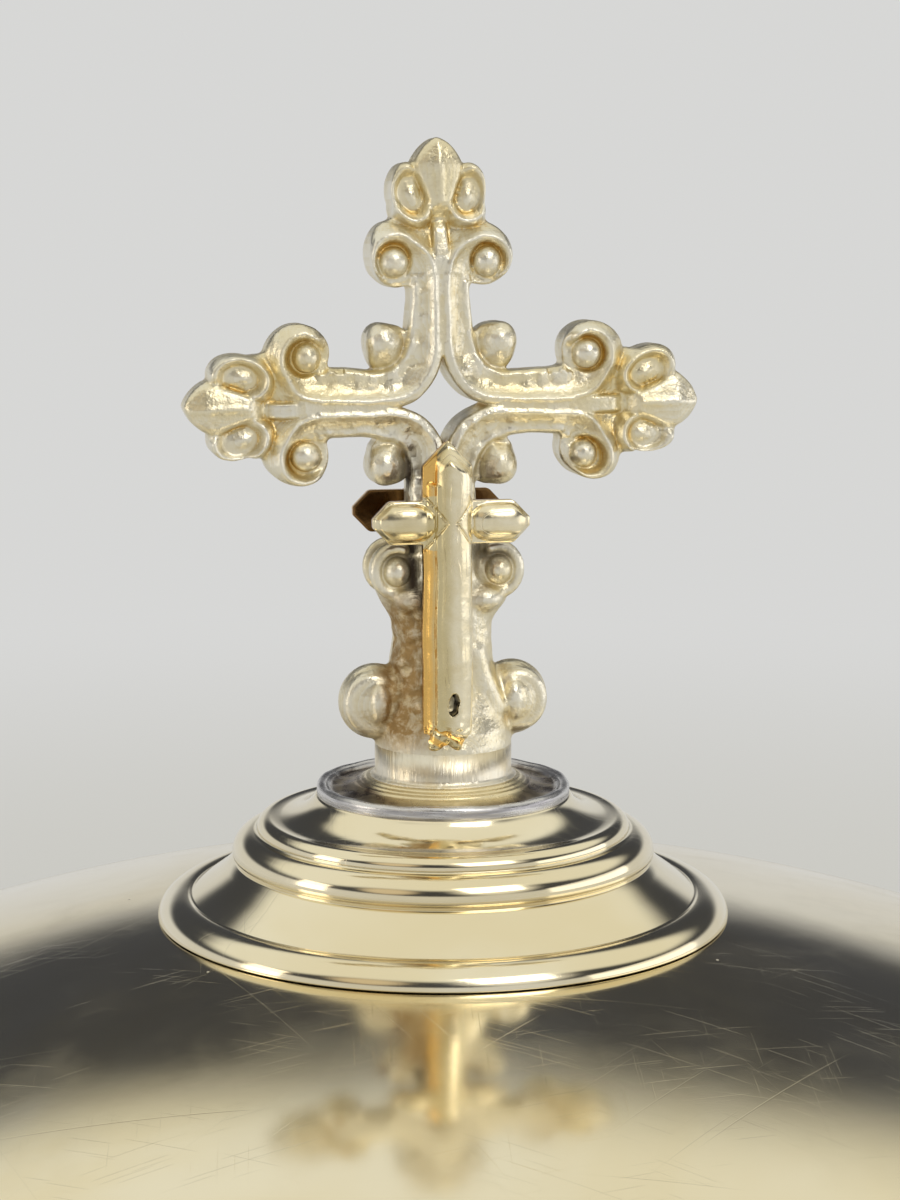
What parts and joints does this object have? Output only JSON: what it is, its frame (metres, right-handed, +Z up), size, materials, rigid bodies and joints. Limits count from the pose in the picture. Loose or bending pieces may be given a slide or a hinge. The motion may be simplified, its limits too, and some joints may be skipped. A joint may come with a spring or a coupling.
{
  "type": "ciborium vessel",
  "caption": "Lidded gilt ciborium: spun foot, knopped stem, deep cup and a lift-off domed lid with a stepped boss and an openwork scroll-and-leaf cross finial.",
  "frame": {"origin": "centre of the foot's underside, where the vessel stands", "axes": "+Z up along the vessel's axis, and the finial cross lies in the XZ plane with its front facing -Y"},
  "size_m": [0.136, 0.136, 0.2422],
  "materials": {
    "polished_gilt": "polished silver-gilt with fine wiping scratches and dust",
    "cast_gilt": "cast silver-gilt, worn pale on the high points and grimy in the recesses",
    "applied_gold": "polished yellow gold colour with bevelled edges",
    "tarnished_plate": "dark tarnished plate with a dull grey soldered rim",
    "plain_brass": "unpolished turned brass"
  },
  "bodies": {
    "vessel": {"cup_bowl": "polished_gilt", "cup_lip": "polished_gilt", "foot_dome": "polished_gilt", "foot_band": "polished_gilt", "knop_lower": "polished_gilt", "knop_upper": "polished_gilt", "knop_band": "polished_gilt", "lower_stem": "polished_gilt", "upper_stem": "polished_gilt", "lower_collar": "polished_gilt", "upper_collar": "polished_gilt", "cup_boss": "polished_gilt", "tie_rod": "plain_brass", "foot_nut": "plain_brass", "foot_washer": "plain_brass"},
    "lid": {"lid_dome": "polished_gilt", "lid_rim": "polished_gilt", "lid_bezel": "polished_gilt", "boss": "polished_gilt", "finial_disc": "tarnished_plate", "finial_stud": "plain_brass", "finial_nut": "plain_brass", "finial_washer": "plain_brass", "cross_ferrule": "cast_gilt", "cross_casting": "cast_gilt", "front_applied_cross": "applied_gold", "back_applied_cross": "applied_gold"}
  },
  "joints": [
    {"name": "lid_lift", "type": "slide", "parent": "vessel", "child": "lid", "axis": [0, 0, 1], "range_m": [0, 0.1]}
  ]
}
